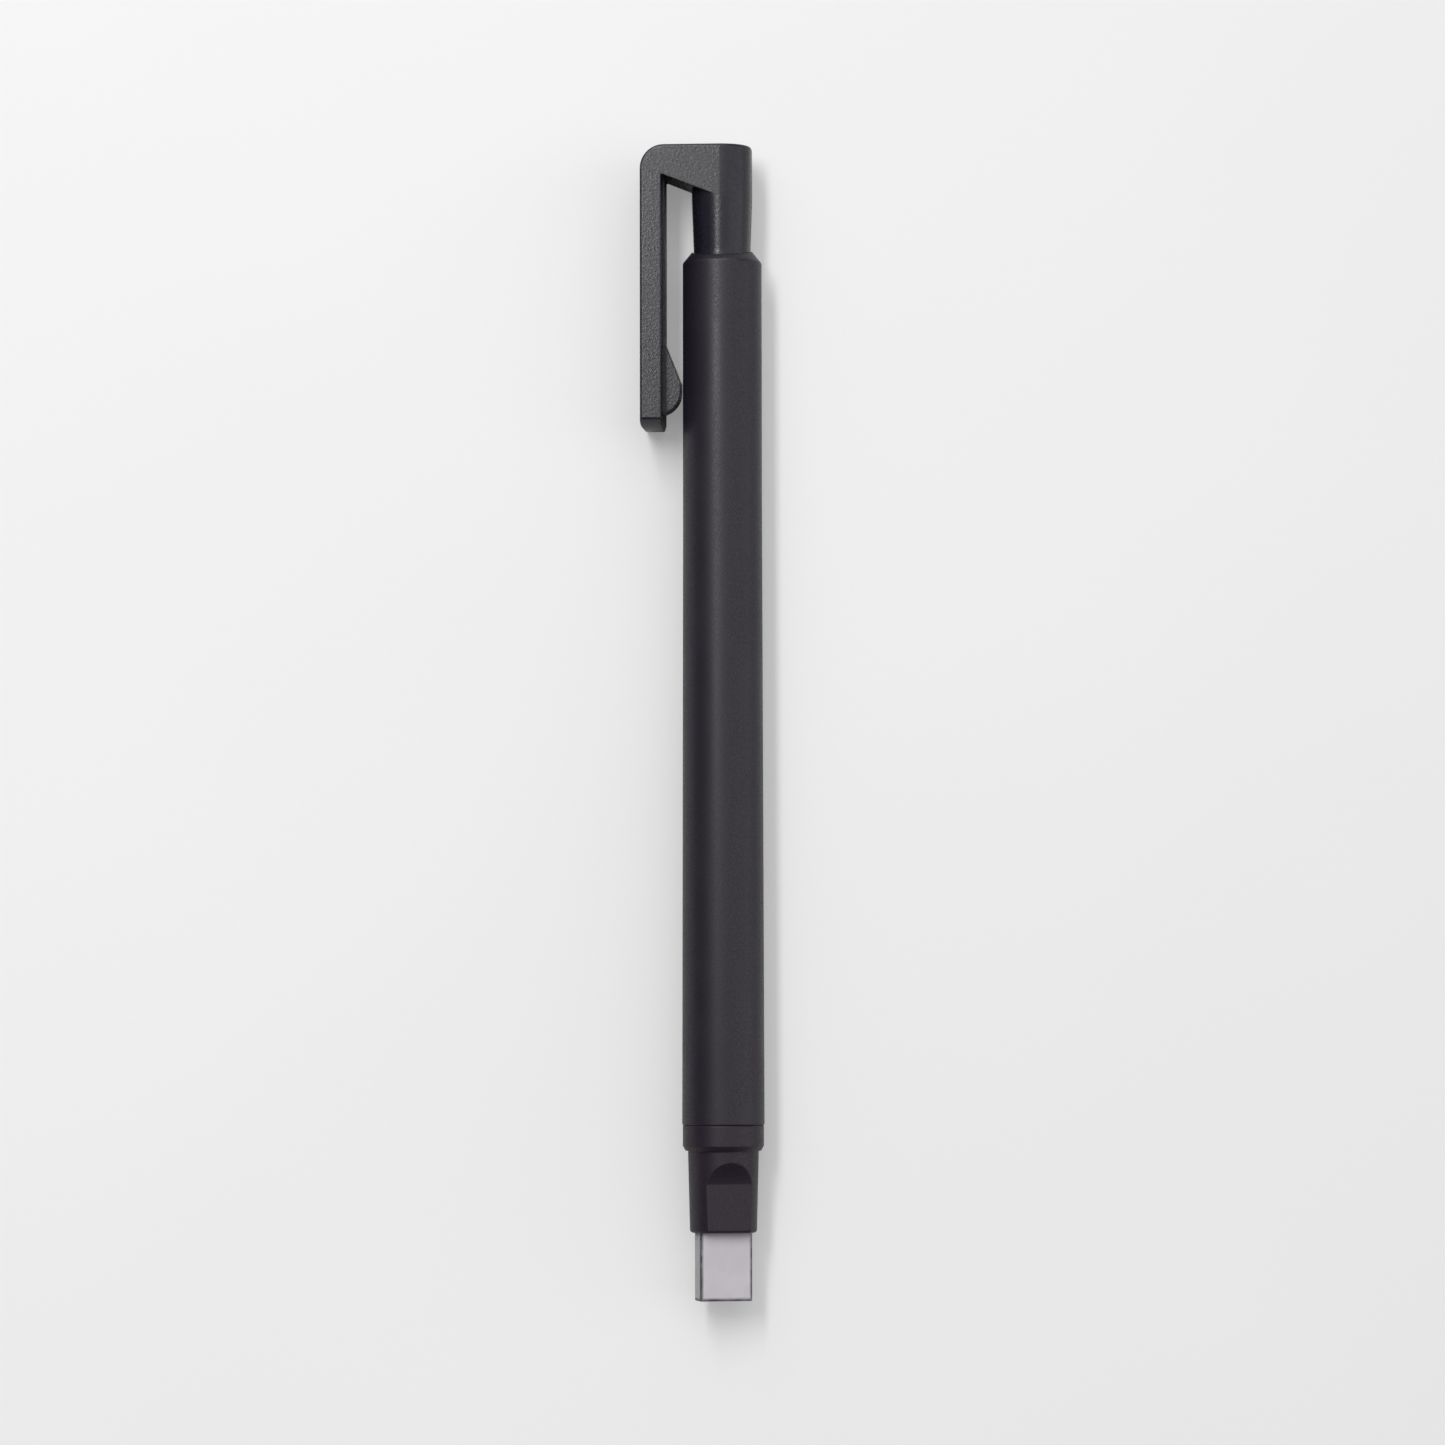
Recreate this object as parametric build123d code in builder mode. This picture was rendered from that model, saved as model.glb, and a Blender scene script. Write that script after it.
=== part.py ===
from build123d import *
from math import asin, atan, atan2, cos, degrees, hypot, radians, sin
import os

os.makedirs("parts", exist_ok=True)

# A push-button holder for a rectangular stick of soft eraser, lying on a table.
# The pen runs along Y with its button at +Y, and the clip lies to -X.
# Lengths are in millimetres, angles in degrees.
# Distances along the pen are measured from the mouth of the nose towards the button.

# Cuts run this far past what they cut
overrun = 2.0

# Gaps between pieces
running_gap = 0.08
ring_gap = 0.04
grip_gap = 0.02
seat_gap = 0.02
stop_gap = 0.05
tube_gap = 0.12
button_gap = 0.17
clip_gap = 0.15

# Eraser stick, and how far it stands out of the nose
stick_width = 5.15
stick_thickness = 2.5
stick_corner = 0.3
stick_tip_round = 0.12
stick_out = 6.5

# How the pieces are turned about the pen's axis: the nose and stick stand askew to the clip
nose_turn = 13.5

# Travel of the button, and of the ring before it meets its stop
knock_travel = 4.0
ring_travel = 1.6

# Chuck: two toothed legs on a hub
jaw_width = 3.0
leg_gap = 0.06
leg_thickness = 0.4
head_step = 0.24
head_length = 2.7
jaw_opening = 0.3
tooth_depth = 0.16
tooth_count = 5
hub_length = 4.0
hub_tab_length = 3.0

# Ring that closes the jaws, and the thin sleeve it runs in
ring_wall = 0.42
ring_length = 2.0
sleeve_wall = 0.26
sleeve_length = 4.0
lip_length = 0.3

# Spring between the sleeve's lip and the hub
spring_wire = 0.28
spring_length = 14.1
spring_turns = 11
spring_seat_gap = 0.15

# Slide tube round the stick
tube_wall = 0.34
tube_spare = 0.6
tube_plug_length = 7.6
peg_radius = 1.88
peg_length = 7.3

# Nose piece
nose_length = 7.83
nose_wall = 0.36
nose_taper = 0.19
nose_mouth_round = 0.3
passage_length = 8.5
spigot_length = 4.3
nose_bore_wall = 0.4
flat_wall = 1.12
flat_length = 4.67
ramp_start_angle = 12.5
ramp_sweep = 30
ramp_radius = 5.6

# Collar at the nose's root
collar_length = 2.46
collar_setback = 0.065
collar_face = 0.23
collar_chamfer = 0.45
parting_chamfer = 0.08

# Soft ring that holds the stick lightly
retainer_length = 1.8
retainer_gap = 0.03

# Barrel
barrel_length = 83.99
barrel_wall = 0.505
barrel_swell = 0.145
straight_length = 23.6
mouth_length = 2.05
mouth_rim = 0.06
slot_spare = 0.3
shoulder_length = 1.08
shoulder_round = 0.4

# Button, arm and clip
button_mouth_half_width = 2.7
button_half_width = 2.87
button_depth_share = 1.189
button_height = 10.15
button_top_wall = 1.2
arm_foot_height = 5.09
arm_rise = 2.26
clip_space = 1.88
clip_thickness = 2.015
clip_length = 27.44
clip_corner = 2.3
clip_inner_corner = 0.15
clip_tip_corner = 0.55
clip_tip_crown = 0.93
edge_round = 0.25

# Rib inside the clip, and the bump that it ends in
rib_width = 2.5
rib_height = 0.22
bump_start = 1.63
bump_round_height = 2.2
bump_land = 0.8
bump_slope_length = 3.76

# Half sizes and radii, from the stick outwards
half_thickness = stick_thickness / 2
stick_reach = hypot(stick_width / 2 - stick_corner, half_thickness - stick_corner) + stick_corner
stick_bore = stick_reach + running_gap
passage_width = stick_width + 2 * running_gap
passage_height = stick_thickness + 2 * running_gap
passage_corner = stick_corner + running_gap
tube_radius = stick_bore + tube_wall
barrel_bore = tube_radius + tube_gap
ring_radius = stick_bore + ring_wall
sleeve_bore = ring_radius + ring_gap
sleeve_radius = sleeve_bore + sleeve_wall
counterbore = sleeve_radius + seat_gap
barrel_rear_radius = barrel_bore + barrel_wall
barrel_front_radius = barrel_rear_radius + barrel_swell
button_half_depth = button_half_width * button_depth_share
button_mouth_half_depth = button_mouth_half_width * button_depth_share
mouth_half_width = button_mouth_half_width + button_gap
mouth_half_depth = button_mouth_half_depth + button_gap
nose_mouth_radius = stick_bore + nose_wall
nose_top_radius = nose_mouth_radius + nose_taper
nose_bore = sleeve_radius - nose_bore_wall
collar_radius = barrel_front_radius - collar_setback
flat_distance = half_thickness + running_gap + flat_wall
clip_inner = barrel_rear_radius + clip_space
clip_reach = clip_inner + clip_thickness

# Distances from the nose's mouth
parting = nose_length + collar_length
spigot_end = parting + spigot_length
sleeve_end = spigot_end + sleeve_length
lip_start = sleeve_end - lip_length
ring_rear = lip_start - stop_gap
ring_front = ring_rear - ring_length
spring_start = sleeve_end + spring_seat_gap
hub_front = spring_start + spring_length + spring_seat_gap
hub_rear = hub_front + hub_length
jaw_pivot = hub_front + leg_thickness
barrel_end = parting + barrel_length
inner_shoulder = barrel_end - mouth_length
straight_start = barrel_end - straight_length
tube_end = inner_shoulder - stop_gap
tube_bore_end = tube_end - tube_plug_length
knock_top = barrel_end + button_height
arm_foot = knock_top - arm_foot_height
arm_outer_foot = arm_foot + arm_rise
clip_end = knock_top - clip_length

# The stick is as long as the tube can take when the button is pressed and the stick pushed right in
stick_length = tube_bore_end - tube_spare - knock_travel

# The pen lies on its front ring and on the clip's lower corner, which sets how far it rolls
corner_reach = clip_reach - edge_round
corner_drop = button_half_depth - edge_round
lean = asin((barrel_front_radius - edge_round) / hypot(corner_reach, corner_drop))
roll = lean - atan2(corner_drop, corner_reach)
clip_side = corner_reach * cos(roll) + corner_drop * sin(roll) + edge_round
pen_x = (clip_side - barrel_front_radius) / 2
pen_y = (stick_out - knock_top) / 2
pen_origin = Vector(pen_x, pen_y, barrel_front_radius)
pen_axis = Axis(pen_origin, (0, 1, 0))

# Planes along the pen: x points away from the axis, y towards the button
turn = radians(nose_turn)
knock_plane = Plane(pen_origin, x_dir=(cos(roll), 0, sin(roll)), z_dir=(-sin(roll), 0, cos(roll)))
nose_plane = Plane(pen_origin, x_dir=(cos(turn), 0, -sin(turn)), z_dir=(sin(turn), 0, cos(turn)))

# Side planes: x points towards the button, y out of the broad face
knock_side = Plane(pen_origin, x_dir=(0, 1, 0), z_dir=knock_plane.x_dir)
nose_side = Plane(pen_origin, x_dir=(0, 1, 0), z_dir=nose_plane.x_dir)


def across(plane, distance):
    """A plane across the pen at a distance from the nose's mouth, facing the button."""
    return Plane(plane.from_local_coords(Vector(0, distance, 0)), x_dir=plane.x_dir, z_dir=(0, 1, 0))


def outline(plane, points):
    """A face with straight sides through the given corners."""
    with BuildSketch(plane) as face:
        with BuildLine():
            Polyline(*points, close=True)
        make_face()
    return face.sketch


def stick_hole(plane, distance):
    """The rectangular hole that the stick runs through, drawn across the pen."""
    with BuildSketch(across(plane, distance)) as hole:
        RectangleRounded(passage_width, passage_height, passage_corner)
    return hole.sketch


def button_section(distance, half_width, half_depth):
    """The button's section across the pen: deeper than it is wide, with half-round ends."""
    with BuildSketch(across(knock_plane, distance)) as section:
        SlotOverall(2 * half_depth, 2 * half_width, rotation=90)
    return section.sketch


# Eraser stick, cut from an extruded bar
with BuildPart() as eraser_stick:
    with BuildSketch(across(nose_plane, -stick_out)):
        RectangleRounded(stick_width, stick_thickness, stick_corner)
    extrude(amount=stick_length)
    fillet(eraser_stick.edges().group_by(Axis.Y)[0], radius=stick_tip_round)
eraser_stick.part.label = "eraser_stick"
export_step(eraser_stick.part, "parts/eraser_stick.step")

# Nose piece: cone with two thumb flats, collar, and spigot into the barrel
with BuildPart() as nose_piece:
    nose_outline = [
        (0, 0),
        (nose_mouth_radius, 0),
        (nose_top_radius, nose_length),
        (nose_top_radius + collar_face, nose_length),
        (collar_radius, nose_length + collar_chamfer),
        (collar_radius, parting - parting_chamfer),
        (collar_radius - parting_chamfer, parting),
        (sleeve_radius, parting),
        (sleeve_radius, spigot_end),
        (0, spigot_end),
    ]
    revolve(outline(nose_plane, nose_outline), axis=pen_axis)
    with BuildSketch(nose_side):
        with BuildLine():
            flat_end = (flat_length, flat_distance)
            ramp_slope = (cos(radians(ramp_start_angle)), sin(radians(ramp_start_angle)))
            ramp = JernArc(start=flat_end, tangent=ramp_slope, radius=ramp_radius, arc_size=ramp_sweep)
            far_side = collar_radius + overrun
            Polyline(ramp @ 1, ((ramp @ 1).X, far_side), (-overrun, far_side),
                     (-overrun, flat_distance), flat_end)
        make_face()
        mirror(about=Plane.XZ)
    extrude(amount=collar_radius, both=True, mode=Mode.SUBTRACT)
    fillet(nose_piece.edges().group_by(Axis.Y)[0], radius=nose_mouth_round)
    extrude(stick_hole(nose_plane, -overrun), amount=overrun + passage_length, mode=Mode.SUBTRACT)
    with BuildSketch(across(nose_plane, passage_length)):
        Circle(nose_bore)
    extrude(amount=spigot_end, mode=Mode.SUBTRACT)
nose_piece.part.label = "nose_piece"
export_step(nose_piece.part, "parts/nose_piece.step")

# Soft ring in the nose
with BuildPart() as stick_retainer:
    with BuildSketch(across(nose_plane, passage_length)):
        Circle(nose_bore - seat_gap)
        RectangleRounded(stick_width + 2 * retainer_gap, stick_thickness + 2 * retainer_gap,
                         stick_corner, mode=Mode.SUBTRACT)
    extrude(amount=retainer_length)
stick_retainer.part.label = "stick_retainer"
export_step(stick_retainer.part, "parts/stick_retainer.step")

# Thin sleeve behind the nose's spigot, with a lip at its rear
with BuildPart() as chuck_sleeve:
    sleeve_outline = [
        (sleeve_bore, spigot_end),
        (sleeve_radius, spigot_end),
        (sleeve_radius, sleeve_end),
        (stick_bore + tube_gap, sleeve_end),
        (stick_bore + tube_gap, lip_start),
        (sleeve_bore, lip_start),
    ]
    revolve(outline(nose_plane, sleeve_outline), axis=pen_axis)
chuck_sleeve.part.label = "chuck_sleeve"
export_step(chuck_sleeve.part, "parts/chuck_sleeve.step")

# The jaws' heads widen towards the nose, and the ring's opening widens with them
head_rear = lip_start
head_front = head_rear - head_length
leg_inner = half_thickness + leg_gap
leg_outer = leg_inner + leg_thickness
head_height = leg_outer + head_step
wedge = jaw_opening / (knock_travel - ring_travel)


def opening_height(distance):
    """Half the height of the ring's opening at a distance along the pen."""
    return head_height + grip_gap + wedge * (ring_rear - distance)


# Ring that closes the jaws
with BuildPart() as chuck_ring:
    with BuildSketch(across(nose_plane, ring_front)):
        Circle(ring_radius)
    extrude(amount=ring_length)
    for distance in (ring_front - stop_gap, ring_rear + stop_gap):
        with BuildSketch(across(nose_plane, distance)):
            Circle(stick_bore)
            Rectangle(2 * ring_radius, 2 * opening_height(distance), mode=Mode.INTERSECT)
    loft(ruled=True, mode=Mode.SUBTRACT)
chuck_ring.part.label = "chuck_ring"
export_step(chuck_ring.part, "parts/chuck_ring.step")

# Jaws: the upper and the lower leg, each with its teeth towards the stick and a round root in the hub
tooth_pitch = head_length / tooth_count
tooth_tip = half_thickness + grip_gap
tooth_root = tooth_tip + tooth_depth
leg_middle = (leg_inner + leg_outer) / 2
root_radius = leg_thickness / 2
jaw_outline = [(jaw_pivot, leg_outer), (jaw_pivot, leg_inner), (head_rear, leg_inner)]
for tooth in range(tooth_count):
    tooth_end = head_rear - tooth * tooth_pitch
    jaw_outline.append((tooth_end, tooth_root))
    jaw_outline.append((tooth_end - tooth_pitch / 2, tooth_tip))
jaw_outline += [
    (head_front, tooth_root),
    (head_front, head_height + wedge * head_length),
    (head_rear, head_height),
    (head_rear, leg_outer),
]
for jaw_name, side in (("upper_jaw", 1), ("lower_jaw", -1)):
    with BuildPart() as jaw:
        with BuildSketch(nose_side):
            with BuildLine():
                Polyline(*[(distance, side * height) for distance, height in jaw_outline], close=True)
            make_face()
            with Locations((jaw_pivot, side * leg_middle)):
                Circle(root_radius)
        extrude(amount=jaw_width / 2, both=True)
    jaw.part.label = jaw_name
    export_step(jaw.part, f"parts/{jaw_name}.step")

# Hub that carries the jaws, with two tabs that plug into the slide tube
with BuildPart() as chuck_hub:
    with BuildSketch(across(nose_plane, hub_front)):
        Circle(tube_radius)
    extrude(amount=hub_length)
    with BuildSketch(across(nose_plane, hub_rear)):
        Circle(stick_bore - seat_gap)
        Rectangle(2 * tube_radius, passage_height, mode=Mode.SUBTRACT)
    extrude(amount=hub_tab_length)
    extrude(stick_hole(nose_plane, hub_front - overrun), amount=hub_length + 2 * overrun,
            mode=Mode.SUBTRACT)
    # Grooves for the jaws' round roots
    groove_width = leg_thickness + 2 * stop_gap
    with BuildSketch(nose_side):
        with Locations((jaw_pivot, leg_middle), (jaw_pivot, -leg_middle)):
            Circle(groove_width / 2)
            Rectangle(overrun, groove_width, align=(Align.MAX, Align.CENTER))
    extrude(amount=jaw_width / 2 + stop_gap, both=True, mode=Mode.SUBTRACT)
chuck_hub.part.label = "chuck_hub"
export_step(chuck_hub.part, "parts/chuck_hub.step")

# Spring: one wire wound from the sleeve's lip to the hub
spring_radius = tube_radius - spring_wire / 2
spring_pitch = (spring_length - spring_wire) / spring_turns
with BuildPart() as chuck_spring:
    with BuildLine() as spring_path:
        Helix(
            pitch=spring_pitch,
            height=spring_length - spring_wire,
            radius=spring_radius,
            center=pen_origin + Vector(0, spring_start + spring_wire / 2, 0),
            direction=(0, 1, 0),
        )
    with BuildSketch(Plane(spring_path.line @ 0, z_dir=spring_path.line % 0)):
        Circle(spring_wire / 2)
    sweep(is_frenet=True)
chuck_spring.part.label = "chuck_spring"
export_step(chuck_spring.part, "parts/chuck_spring.step")

# Slide tube: a sleeve round the stick, closed at the rear by a peg for the button
with BuildPart() as slide_tube:
    tube_outline = [
        (stick_bore, hub_rear),
        (tube_radius, hub_rear),
        (tube_radius, tube_end),
        (peg_radius, tube_end),
        (peg_radius, tube_end + peg_length),
        (0, tube_end + peg_length),
        (0, tube_bore_end),
        (stick_bore, tube_bore_end),
    ]
    revolve(outline(knock_plane, tube_outline), axis=pen_axis)
slide_tube.part.label = "slide_tube"
export_step(slide_tube.part, "parts/slide_tube.step")

# Barrel: straight at the rear, swelling gently towards the nose, with a sloped shoulder at its mouth
# and a keyed opening that the button slides in
with BuildPart() as barrel:
    rim_radius = mouth_half_width + mouth_rim
    shoulder_foot = barrel_end - shoulder_length
    with BuildSketch(knock_plane) as barrel_outline:
        with BuildLine():
            Polyline(
                (counterbore, parting),
                (barrel_front_radius - parting_chamfer, parting),
                (barrel_front_radius, parting + parting_chamfer),
                (barrel_rear_radius, straight_start),
                (barrel_rear_radius, shoulder_foot),
                (rim_radius, barrel_end),
                (0, barrel_end),
                (0, inner_shoulder),
                (barrel_bore, inner_shoulder),
                (barrel_bore, sleeve_end),
                (counterbore, sleeve_end),
                close=True,
            )
        make_face()
        shoulder_corner = barrel_outline.vertices().sort_by_distance((barrel_rear_radius, shoulder_foot))[0]
        fillet(shoulder_corner, radius=shoulder_round)
    revolve(axis=pen_axis)
    slot_end = inner_shoulder - knock_travel - slot_spare
    extrude(button_section(slot_end, mouth_half_width, mouth_half_depth),
            amount=barrel_end + overrun - slot_end, mode=Mode.SUBTRACT)
barrel.part.label = "barrel"
export_step(barrel.part, "parts/barrel.step")


def is_outer_edge(edge):
    """Whether an edge of the clip lies on its outer side or its top, not towards the barrel."""
    spot = knock_plane.to_local_coords(edge.center())
    return spot.X < -(clip_inner + edge_round) or spot.Y > knock_top - edge_round


def is_button_edge(edge):
    """Whether an edge lies on the button's side of the pen's axis, away from the clip."""
    return knock_plane.to_local_coords(edge.center()).X > 0


# Button, arm and clip, one moulding
with BuildPart() as knock_clip:
    extrude(button_section(tube_end, button_mouth_half_width, button_mouth_half_depth),
            amount=barrel_end - tube_end)
    loft([button_section(barrel_end, button_mouth_half_width, button_mouth_half_depth),
          button_section(arm_foot, button_half_width, button_half_depth)])
    extrude(button_section(arm_foot, button_half_width, button_half_depth), amount=knock_top - arm_foot)
    with BuildSketch(knock_plane) as clip_outline:
        with BuildLine():
            Polyline(
                (0, arm_foot),
                (0, knock_top),
                (-clip_reach, knock_top),
                (-clip_reach, clip_end),
                (-clip_inner, clip_end),
                (-clip_inner, arm_outer_foot),
                close=True,
            )
        make_face()
        for corner, radius in (
            ((-clip_reach, knock_top), clip_corner),
            ((-clip_reach, clip_end), clip_tip_corner),
            ((-clip_inner, arm_outer_foot), clip_inner_corner),
        ):
            fillet(clip_outline.vertices().sort_by_distance(corner)[0], radius=radius)
    extrude(amount=button_half_depth, both=True)
    # The clip's end is crowned across its width
    with BuildSketch(knock_side):
        with BuildLine():
            crown_start = clip_end + clip_tip_crown
            far_side = button_half_depth + overrun
            ThreePointArc((crown_start, -button_half_depth), (clip_end, 0), (crown_start, button_half_depth))
            Polyline((crown_start, button_half_depth), (crown_start, far_side), (clip_end - overrun, far_side),
                     (clip_end - overrun, -far_side), (crown_start, -far_side),
                     (crown_start, -button_half_depth))
        make_face()
    extrude(amount=clip_reach + overrun, both=True, mode=Mode.SUBTRACT)
    # The edges of the outer side and of the top are rounded
    width_axis = Axis(pen_origin, knock_plane.z_dir)
    side_edges = knock_clip.edges().group_by(width_axis)
    outer_edges = (side_edges[0] + side_edges[-1]).filter_by(is_outer_edge)
    top_edges = knock_clip.edges().group_by(Axis.Y)[-1].filter_by(is_button_edge)
    fillet(outer_edges + top_edges, radius=edge_round)
    # Rib down the inside, ending in the bump that presses on the barrel
    with BuildSketch(knock_plane):
        with BuildLine():
            rib_face = -(clip_inner - rib_height)
            rib_root = -(clip_inner + rib_height)
            bump_face = -(barrel_rear_radius + clip_gap)
            bump_foot = clip_end + bump_start
            bump_top = bump_foot + bump_round_height + bump_land
            Polyline((bump_face, bump_foot + bump_round_height), (bump_face, bump_top),
                     (rib_face, bump_top + bump_slope_length), (rib_face, arm_outer_foot),
                     (rib_root, arm_outer_foot), (rib_root, bump_foot), (-clip_inner, bump_foot))
            TangentArc((bump_face, bump_foot + bump_round_height), (-clip_inner, bump_foot),
                       tangent=(0, -1))
        make_face()
    extrude(amount=rib_width / 2, both=True)
    # The button is hollow from below, round the slide tube's peg
    with BuildSketch(across(knock_plane, tube_end)):
        Circle(peg_radius + seat_gap)
    extrude(amount=knock_top - button_top_wall - tube_end, mode=Mode.SUBTRACT)
knock_clip.part.label = "knock_clip"
export_step(knock_clip.part, "parts/knock_clip.step")

# Sizes that follow from the rest
jaw_angle = degrees(atan(jaw_opening / (jaw_pivot - head_front)))
spring_gap = spring_pitch - spring_wire
print("roll of the clip below level, degrees:", round(degrees(roll), 3))
print("jaw opening, degrees:", round(jaw_angle, 4))
print("gap between turns of the spring, at rest and pressed, mm:", round(spring_gap, 3),
      round(spring_gap - knock_travel / spring_turns, 3))
print("pen axis at x, z:", round(pen_x, 4), round(barrel_front_radius, 4))
print("nose mouth at y:", round(pen_y, 4), "button top at y:", round(pen_y + knock_top, 4))
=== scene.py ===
import math

import bpy
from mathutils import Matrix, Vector


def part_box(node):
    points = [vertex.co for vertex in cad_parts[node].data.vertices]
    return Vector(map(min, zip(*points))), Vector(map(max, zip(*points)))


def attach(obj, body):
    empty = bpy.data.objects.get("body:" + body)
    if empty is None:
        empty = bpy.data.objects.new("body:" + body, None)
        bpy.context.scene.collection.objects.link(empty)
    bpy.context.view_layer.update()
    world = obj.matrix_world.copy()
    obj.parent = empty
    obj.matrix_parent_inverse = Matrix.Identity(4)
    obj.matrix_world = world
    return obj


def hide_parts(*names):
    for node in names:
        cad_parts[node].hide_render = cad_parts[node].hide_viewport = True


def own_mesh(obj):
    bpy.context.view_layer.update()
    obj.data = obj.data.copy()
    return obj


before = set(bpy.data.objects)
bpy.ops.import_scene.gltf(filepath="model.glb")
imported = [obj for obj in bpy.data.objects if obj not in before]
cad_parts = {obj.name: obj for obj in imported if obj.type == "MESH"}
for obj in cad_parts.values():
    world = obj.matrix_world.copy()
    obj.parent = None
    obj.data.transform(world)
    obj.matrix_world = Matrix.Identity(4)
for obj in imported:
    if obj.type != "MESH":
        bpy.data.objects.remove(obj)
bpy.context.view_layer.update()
MM = 0.001

# Table: the pen lies on a broad sheet of matt white card, faintly mottled, with no edge in sight.
# It is a plain background and no part of the pen.
table_size = 3.0
table_colour = (0.661, 0.663, 0.663)
table_mottle_colour = (0.651, 0.653, 0.654)
table_mottle_scale = 14.0
table_mottle_from = 0.35
table_mottle_to = 0.65
table_fibre_scale = 1400.0
table_fibre_detail = 3.0
table_fibre_depth = 0.02 * MM
table_fibre_strength = 0.5
table_roughness = 0.85
table_sheen = 0.2
table_glow = 0.235


def node(tree, kind, inputs, **settings):
    """One shader node with its settings; each input is a number, a colour or another node's output."""
    made = tree.nodes.new("ShaderNode" + kind)
    for setting, value in settings.items():
        setattr(made, setting, value)
    for label, value in inputs.items():
        if isinstance(value, bpy.types.NodeSocket):
            tree.links.new(value, made.inputs[label])
        else:
            made.inputs[label].default_value = value
    return made.outputs


def sum_of(tree, operation, *values):
    """One sum on one, two or three values, by the name of the sum."""
    return node(tree, "Math", dict(enumerate(values)), operation=operation)["Value"]


def spread(tree, value, low, high, to_low=0.0, to_high=1.0):
    """The value stretched smoothly from the range low to high onto a new range."""
    ends = {"Value": value, "From Min": low, "From Max": high, "To Min": to_low, "To Max": to_high}
    return node(tree, "MapRange", ends, interpolation_type="SMOOTHSTEP")["Result"]


def noise(tree, place, scale, detail=2.0, roughness=0.5):
    """The grey value of a noise pattern, with scale in features per metre."""
    return node(tree, "TexNoise", {
        "Vector": place, "Scale": scale, "Detail": detail, "Roughness": roughness})["Fac"]


def blend(tree, mask, first, second):
    """Two colours mixed by a mask; each is a colour or another node's output."""
    mix = tree.nodes.new("ShaderNodeMix")
    mix.data_type = "RGBA"
    tree.links.new(mask, mix.inputs["Factor"])
    for label, colour in (("A", first), ("B", second)):
        socket = [s for s in mix.inputs if s.name == label and s.type == "RGBA"][0]
        if isinstance(colour, bpy.types.NodeSocket):
            tree.links.new(colour, socket)
        else:
            socket.default_value = (*colour, 1)
    return [s for s in mix.outputs if s.type == "RGBA"][0]


def new_material(name, roughness, specular=0.5):
    """A material with its node tree, its Principled shader and the object's coordinates."""
    material = bpy.data.materials.new(name)
    material.use_nodes = True
    tree = material.node_tree
    shader = tree.nodes["Principled BSDF"]
    shader.inputs["Roughness"].default_value = roughness
    shader.inputs["Specular IOR Level"].default_value = specular
    return material, tree, shader, node(tree, "TexCoord", {})["Object"]


def dent(tree, shader, height, depth, strength):
    """Lets a height pattern dent the surface by a depth in metres."""
    normal = node(tree, "Bump", {"Strength": strength, "Distance": depth, "Height": height})["Normal"]
    tree.links.new(normal, shader.inputs["Normal"])


bpy.ops.mesh.primitive_plane_add(size=table_size, location=(0, 0, 0))
table = bpy.context.active_object
table.name = "table"

card, tree, shader, place = new_material("white_card", table_roughness, specular=table_sheen)
mottle = spread(tree, noise(tree, place, table_mottle_scale), table_mottle_from, table_mottle_to)
tree.links.new(blend(tree, mottle, table_colour, table_mottle_colour), shader.inputs["Base Color"])
fibres = noise(tree, place, table_fibre_scale, table_fibre_detail)
dent(tree, shader, fibres, table_fibre_depth, table_fibre_strength)
rays = node(tree, "LightPath", {})
glow_seen = sum_of(tree, "MULTIPLY", rays["Is Camera Ray"], table_glow)
glow = node(tree, "Emission", {"Strength": glow_seen})["Emission"]
lit_card = tree.nodes.new("ShaderNodeAddShader")
tree.links.new(shader.outputs["BSDF"], lit_card.inputs[0])
tree.links.new(glow, lit_card.inputs[1])
tree.links.new(lit_card.outputs["Shader"], tree.nodes["Material Output"].inputs["Surface"])
table.data.materials.append(card)

# Light: a wide soft lamp above and beyond the button, a little to the left, and a pale surround.
# The surround is brightest overhead and at the right, and dim low down, so the shadows stay narrow.
# Each patch of the surround fades in from one share of its own direction to another.
lamp_place = Vector((-0.16, 0.335, 0.5))
lamp_width = 0.08
lamp_length = 0.5
lamp_power = 1.95
surround_low = 0.1
surround_overhead = 0.57
overhead_from = 0.55
overhead_full = 0.97
overhead_lean = (0.5, 2.1, 0.0)
surround_right = 1.15
right_from = 0.3
right_full = 0.9
right_ends_at = 0.45
right_full_within = 0.15
surround_beyond = 0.7
beyond_direction = (-0.13, 0.78, 0.61)
beyond_from = 0.6
beyond_full = 0.95
backdrop_brightness = 0.83

lamp_data = bpy.data.lights.new("soft_lamp", "AREA")
lamp_data.shape = "RECTANGLE"
lamp_data.size = lamp_width
lamp_data.size_y = lamp_length
lamp_data.energy = lamp_power
lamp = bpy.data.objects.new("soft_lamp", lamp_data)
lamp.location = lamp_place
bpy.context.collection.objects.link(lamp)

world = bpy.data.worlds.new("surround")
bpy.context.scene.world = world
world.use_nodes = True
sky = world.node_tree
pointing = node(sky, "TexCoord", {})["Generated"]
direction = node(sky, "SeparateXYZ", {"Vector": pointing})
lean = node(sky, "VectorMath", {0: pointing, 1: overhead_lean}, operation="DOT_PRODUCT")["Value"]
lean = sum_of(sky, "ADD", lean, 1.0)
overhead = spread(sky, direction["Z"], overhead_from, overhead_full, 0, surround_overhead)
overhead = sum_of(sky, "MULTIPLY", overhead, lean)
middle = spread(sky, sum_of(sky, "ABSOLUTE", direction["Y"]), right_ends_at, right_full_within)
right = spread(sky, direction["X"], right_from, right_full, 0, surround_right)
right = sum_of(sky, "MULTIPLY", right, middle)
towards = node(sky, "VectorMath", {0: pointing, 1: beyond_direction}, operation="DOT_PRODUCT")["Value"]
beyond = spread(sky, towards, beyond_from, beyond_full, 0, surround_beyond)
surround = surround_low
for patch in (overhead, right, beyond):
    surround = sum_of(sky, "ADD", patch, surround)
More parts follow.
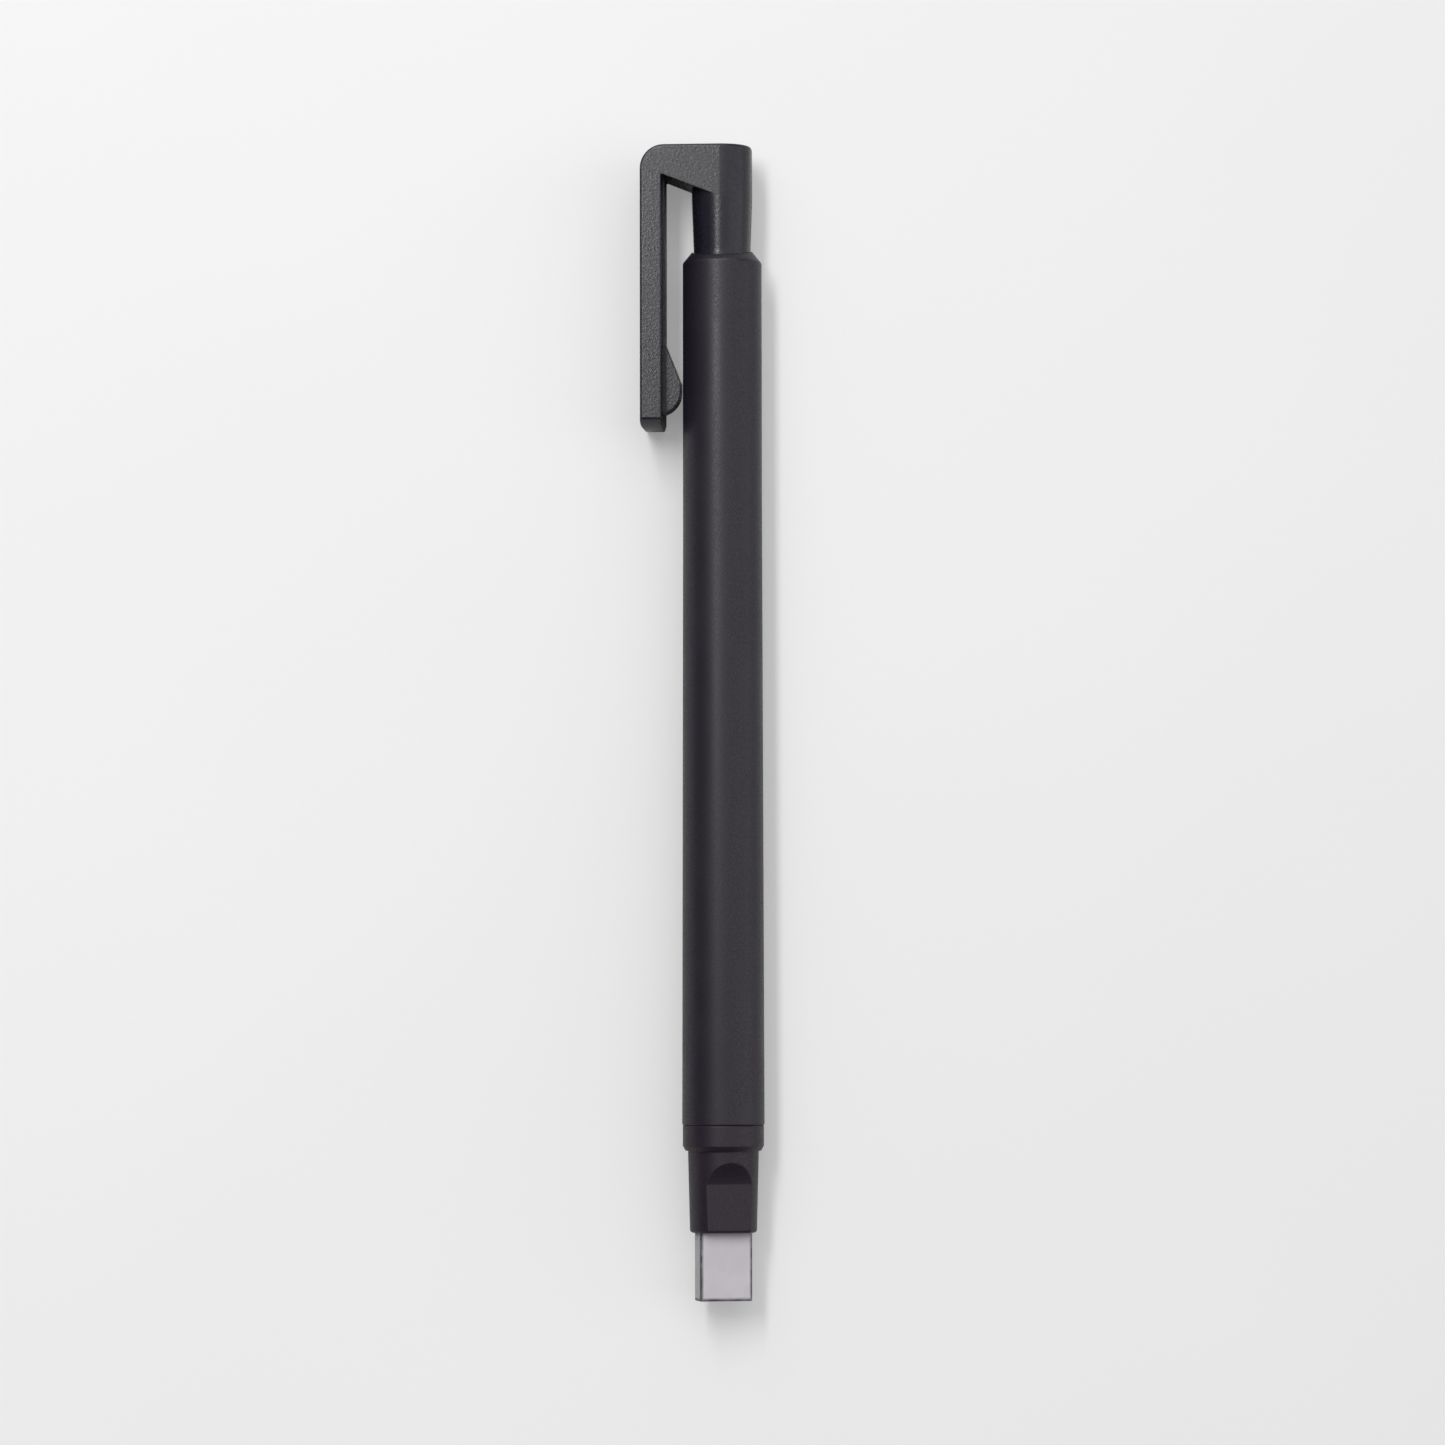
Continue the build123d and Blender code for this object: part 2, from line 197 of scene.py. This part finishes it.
to_camera = node(sky, "LightPath", {})["Is Camera Ray"]
strength = node(sky, "Mix", {"Factor": to_camera, "A": surround, "B": backdrop_brightness})["Result"]
sky.links.new(strength, sky.nodes["Background"].inputs["Strength"])
sky.nodes["Background"].inputs["Color"].default_value = (1, 1, 1, 1)

# Camera: above the pen's lower half, tipped a few degrees to look at its middle.
# The pen leans a little in the picture, and its middle lies close to the picture's middle.
photo_width = 1445
pixels_per_mm = 10.4
camera_distance = 0.53
camera_tip = math.radians(2.78)
camera_sensor = 36.0
aim_pixel = (723.2, 722.5)
aim_from_nose = 48.877 * MM
pen_lean = math.radians(0.082)

barrel_low, barrel_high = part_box("barrel")
pen_x = (barrel_low[0] + barrel_high[0]) / 2
pen_z = (barrel_low[2] + barrel_high[2]) / 2
nose_mouth_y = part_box("nose_piece")[0][1]
pixel = MM / pixels_per_mm
aim = Vector((
    pen_x + (photo_width / 2 - aim_pixel[0]) * pixel,
    nose_mouth_y + aim_from_nose + (aim_pixel[1] - photo_width / 2) * pixel,
    pen_z,
))

camera_data = bpy.data.cameras.new("camera")
camera_data.sensor_width = camera_sensor
camera_data.lens = camera_sensor * camera_distance / (photo_width * pixel)
camera = bpy.data.objects.new("camera", camera_data)
camera.location = aim + camera_distance * Vector((0, -math.sin(camera_tip), math.cos(camera_tip)))
camera.rotation_euler = (camera_tip, 0, -pen_lean)
bpy.context.collection.objects.link(camera)
bpy.context.scene.camera = camera

# Eraser stick: soft white elastomer, cut from an extruded bar and gripped by the jaws inside.
# It is matt, finely speckled and a little translucent. Its narrow sides are painted greyer as shade,
# and pencil dirt has settled on its long corners and round its tip.
eraser_colour = (0.62, 0.586, 0.63)
eraser_shade_colour = (0.585, 0.55, 0.59)
painted_side_shade_colour = (0.47, 0.46, 0.47)
pencil_dirt_colour = (0.05, 0.05, 0.058)
eraser_roughness = 0.78
eraser_sheen = 0.3
eraser_grain_scale = 5200.0
eraser_flow_scale = 500.0
eraser_grain_depth = 0.02 * MM
eraser_grain_strength = 0.6
light_inside_share = 0.6
light_inside_colours = (1.0, 0.95, 0.95)
light_inside_reach = 0.9 * MM
stick_width = 5.15 * MM
stick_thickness = 2.5 * MM
stick_turn = math.radians(-13.5)
dirt_reach = 0.42 * MM
dirt_and_side_shade_core = 0.08 * MM
dirt_patch_scale = 700.0
dirt_patch_detail = 4.0
dirt_patch_from = 0.25
dirt_patch_to = 0.6
thinnest_dirt = 0.55


def open_group(name, inputs, outputs):
    """An empty shader node group with named inputs, their first values if any, and named outputs."""
    group = bpy.data.node_groups.new(name, "ShaderNodeTree")
    for label, kind, value in inputs:
        socket = group.interface.new_socket(label, in_out="INPUT", socket_type="NodeSocket" + kind)
        if value is not None:
            socket.default_value = value
    for label, kind in outputs:
        group.interface.new_socket(label, in_out="OUTPUT", socket_type="NodeSocket" + kind)
    given = group.nodes.new("NodeGroupInput").outputs
    return group, given, group.nodes.new("NodeGroupOutput").inputs


def use_group(tree, group, **inputs):
    """Places a finish's node group in a material, with its own values."""
    placed = tree.nodes.new("ShaderNodeGroup")
    placed.node_tree = group
    for label, value in inputs.items():
        socket = placed.inputs[label.replace("_", " ").title()]
        if isinstance(value, bpy.types.NodeSocket):
            tree.links.new(value, socket)
        else:
            socket.default_value = value
    return placed.outputs


# Fine grain that a moulding takes from its tool, and the slow change of tone where the melt flowed.
# The grain is turned askew, so that no flat face lies along its pattern.
grain_axis = (1.0, 2.0, 3.0)
grain_turn = 0.9
grain_detail = 3.0
grain_roughness = 0.6
flow_detail = 3.0
flow_from = 0.3
flow_to = 0.7

skin_grain, given, made = open_group(
    "skin_grain",
    [("Place", "Vector", None), ("Grain Scale", "Float", None), ("Flow Scale", "Float", None)],
    [("Height", "Float"), ("Flow", "Float")])
turned = node(skin_grain, "VectorRotate", {
    "Vector": given["Place"], "Axis": grain_axis, "Angle": grain_turn}, rotation_type="AXIS_ANGLE")["Vector"]
grain = noise(skin_grain, turned, given["Grain Scale"], grain_detail, grain_roughness)
skin_grain.links.new(grain, made["Height"])
melt = noise(skin_grain, given["Place"], given["Flow Scale"], flow_detail)
skin_grain.links.new(spread(skin_grain, melt, flow_from, flow_to), made["Flow"])

eraser, tree, shader, place = new_material("soft_eraser", eraser_roughness, specular=eraser_sheen)
axis_place = node(tree, "VectorMath", {0: place, 1: (pen_x, 0, pen_z)}, operation="SUBTRACT")["Vector"]
own_place = node(tree, "VectorRotate", {"Vector": axis_place, "Angle": stick_turn}, rotation_type="Y_AXIS")
across, along, up = node(tree, "SeparateXYZ", {"Vector": own_place["Vector"]})


def near_face(distance, half_size):
    """One near the faces at both ends of a size, and nothing in the middle."""
    return spread(tree, sum_of(tree, "ABSOLUTE", distance), half_size - dirt_reach, half_size - dirt_and_side_shade_core)


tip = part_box("eraser_stick")[0][1]
at_side = near_face(across, stick_width / 2)
at_flat = near_face(up, stick_thickness / 2)
at_tip = spread(tree, along, tip + dirt_reach, tip + dirt_and_side_shade_core)
long_corners = sum_of(tree, "MULTIPLY", at_side, at_flat)
tip_corners = sum_of(tree, "MULTIPLY", at_tip, sum_of(tree, "MAXIMUM", at_side, at_flat))
smears = noise(tree, place, dirt_patch_scale, dirt_patch_detail)
patches = spread(tree, smears, dirt_patch_from, dirt_patch_to, thinnest_dirt)
dirt = sum_of(tree, "MULTIPLY", sum_of(tree, "MAXIMUM", long_corners, tip_corners), patches)
# Painted shade: the stick's narrow sides are coloured greyer to stand in for the shade that falls on them.
side_shade_starts = stick_width / 2 - 2 * dirt_and_side_shade_core
painted_side_shade = spread(tree, sum_of(tree, "ABSOLUTE", across), side_shade_starts, side_shade_starts + dirt_and_side_shade_core)
skin = use_group(
    tree, skin_grain, place=place, grain_scale=eraser_grain_scale, flow_scale=eraser_flow_scale)
base = blend(tree, skin["Flow"], eraser_colour, eraser_shade_colour)
base = blend(tree, painted_side_shade, base, painted_side_shade_colour)
tree.links.new(blend(tree, dirt, base, pencil_dirt_colour), shader.inputs["Base Color"])
dent(tree, shader, skin["Height"], eraser_grain_depth, eraser_grain_strength)
shader.inputs["Subsurface Weight"].default_value = light_inside_share
shader.inputs["Subsurface Radius"].default_value = light_inside_colours
shader.inputs["Subsurface Scale"].default_value = light_inside_reach


def dress(material, *names):
    """Gives CAD nodes their material."""
    for name in names:
        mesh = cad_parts[name].data
        mesh.materials.clear()
        mesh.materials.append(material)


dress(eraser, "eraser_stick")

# Nose, barrel and button: black plastic mouldings with a satin skin and a fine spark-eroded grain.
# The nose pushes into the barrel, and the button with its arm and clip slides in the barrel's rear.
bevel_reach = 0.16 * MM
bevel_samples = 4
edge_mask_starts_at = 0.995
edge_mask_full_at = 0.8
wear_and_highlight_paling = 1.5
wear_smoothing = 0.06
moulding_flow_scale = 160.0
moulding_sheen = 0.43
flow_roughness_change = 0.025
pit_from = 0.35
pit_to = 0.65
pit_darkening = 0.45
pit_roughness_change = 0.07
pit_strength = 0.5

# Corners rubbed smooth by fingers and pockets, and painted a little paler as a highlight, found where the
# surface turns.
edge_wear_and_highlight, given, made = open_group(
    "edge_wear_and_highlight", [("Reach", "Float", bevel_reach)], [("Wear And Highlight", "Float"), ("Soft Normal", "Vector")])
soft = node(edge_wear_and_highlight, "Bevel", {"Radius": given["Reach"]}, samples=bevel_samples)["Normal"]
facing = node(edge_wear_and_highlight, "NewGeometry", {})["Normal"]
match = node(edge_wear_and_highlight, "VectorMath", {0: soft, 1: facing}, operation="DOT_PRODUCT")["Value"]
edge_wear_and_highlight.links.new(spread(edge_wear_and_highlight, match, edge_mask_starts_at, edge_mask_full_at), made["Wear And Highlight"])
edge_wear_and_highlight.links.new(soft, made["Soft Normal"])

# A few pale specks of dust and lint, no two alike, lying on the skin.
dust_scale = 420.0
dust_size = 0.05
dust_from_chance = 0.9
dust_colour = (0.12, 0.12, 0.12)

dust, given, made = open_group(
    "dust",
    [("Place", "Vector", None), ("Scale", "Float", dust_scale), ("Size", "Float", dust_size)],
    [("Mask", "Float")])
cells = node(dust, "TexVoronoi", {"Vector": given["Place"], "Scale": given["Scale"]})
chance = node(dust, "SeparateColor", {"Color": cells["Color"]})["Red"]
speck_reach = sum_of(dust, "MULTIPLY", spread(dust, chance, dust_from_chance, 1.0), given["Size"])
dust.links.new(sum_of(dust, "LESS_THAN", cells["Distance"], speck_reach), made["Mask"])


def satin_black(name, colour, flow_colour, roughness, grain_scale, grain_depth):
    """A black moulded plastic with fine grain, slow changes of tone, rubbed corners painted paler as a
    highlight, and dust.
    """
    material, tree, shader, place = new_material(name, roughness, moulding_sheen)
    skin = use_group(tree, skin_grain, place=place, grain_scale=grain_scale, flow_scale=moulding_flow_scale)
    wear_and_highlight = use_group(tree, edge_wear_and_highlight)
    specks = use_group(tree, dust, place=place)
    tone = blend(tree, skin["Flow"], colour, flow_colour)
    pits = spread(tree, skin["Height"], pit_from, pit_to)
    tone = blend(tree, pits, tuple((1 - pit_darkening) * part for part in colour), tone)
    # Painted highlight: corners are coloured paler, partly rubbed wear and partly standing in for the light
    # their rounding catches.
    rubbed_and_highlit = blend(tree, wear_and_highlight["Wear And Highlight"], tone, tuple(wear_and_highlight_paling * part for part in flow_colour))
    tree.links.new(blend(tree, specks["Mask"], rubbed_and_highlit, dust_colour), shader.inputs["Base Color"])
    change = spread(
        tree, skin["Flow"], 0, 1, roughness - flow_roughness_change, roughness + flow_roughness_change)
    pitted = spread(tree, pits, 0, 1, pit_roughness_change, -pit_roughness_change)
    change = sum_of(tree, "ADD", change, pitted)
    smooth = spread(tree, wear_and_highlight["Wear And Highlight"], 0, 1, 0, wear_smoothing)
    tree.links.new(sum_of(tree, "SUBTRACT", change, smooth), shader.inputs["Roughness"])
    relief = node(tree, "Bump", {
        "Strength": pit_strength, "Distance": grain_depth,
        "Height": skin["Height"], "Normal": wear_and_highlight["Soft Normal"]})
    tree.links.new(relief["Normal"], shader.inputs["Normal"])
    return material


nose_plastic = satin_black(
    "nose_plastic", colour=(0.0195, 0.0115, 0.0225), flow_colour=(0.0225, 0.0135, 0.0255),
    roughness=0.42, grain_scale=6500.0, grain_depth=0.02 * MM)
dress(nose_plastic, "nose_piece")
barrel_plastic = satin_black(
    "barrel_plastic", colour=(0.0205, 0.0155, 0.0255), flow_colour=(0.0235, 0.0175, 0.0285),
    roughness=0.4, grain_scale=6500.0, grain_depth=0.016 * MM)
dress(barrel_plastic, "barrel")
clip_plastic = satin_black(
    "clip_plastic", colour=(0.0165, 0.014, 0.0235), flow_colour=(0.0195, 0.0165, 0.027),
    roughness=0.26, grain_scale=4300.0, grain_depth=0.032 * MM)
dress(clip_plastic, "knock_clip")

# Chuck, ring, sleeve, spring and slide tube: the works inside, out of sight unless the pen is opened.
# Natural plastic mouldings, turned brass, drawn wire and a dark soft ring.
inside_flow_scale = 400.0
inside_grain_depth = 0.005 * MM
inside_grain_strength = 0.4


def plain_inside(name, colour, shade, roughness, metallic, grain_scale):
    """A simple finish with fine grain and slow changes of tone for a piece inside."""
    material, tree, shader, place = new_material(name, roughness)
    skin = use_group(tree, skin_grain, place=place, grain_scale=grain_scale, flow_scale=inside_flow_scale)
    tree.links.new(blend(tree, skin["Flow"], colour, shade), shader.inputs["Base Color"])
    shader.inputs["Metallic"].default_value = metallic
    dent(tree, shader, skin["Height"], inside_grain_depth, inside_grain_strength)
    return material


natural_plastic = plain_inside(
    "natural_plastic", colour=(0.7, 0.7, 0.66), shade=(0.64, 0.64, 0.6),
    roughness=0.4, metallic=0.0, grain_scale=3000.0)
dress(natural_plastic, "slide_tube", "chuck_hub", "upper_jaw", "lower_jaw")
turned_brass = plain_inside(
    "turned_brass", colour=(0.8, 0.6, 0.28), shade=(0.7, 0.5, 0.22),
    roughness=0.3, metallic=1.0, grain_scale=4000.0)
dress(turned_brass, "chuck_ring", "chuck_sleeve")
spring_wire = plain_inside(
    "spring_wire", colour=(0.6, 0.6, 0.62), shade=(0.5, 0.5, 0.52),
    roughness=0.28, metallic=1.0, grain_scale=4000.0)
dress(spring_wire, "chuck_spring")
soft_ring = plain_inside(
    "soft_ring", colour=(0.05, 0.05, 0.05), shade=(0.07, 0.07, 0.07),
    roughness=0.7, metallic=0.0, grain_scale=3000.0)
dress(soft_ring, "stick_retainer")

working_spring = bpy.data.objects.new("working_spring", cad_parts["chuck_spring"].data.copy())
bpy.context.collection.objects.link(working_spring)
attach(working_spring, "holder")
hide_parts("chuck_spring")
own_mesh(working_spring)

bpy.context.scene.view_settings.view_transform = "Standard"
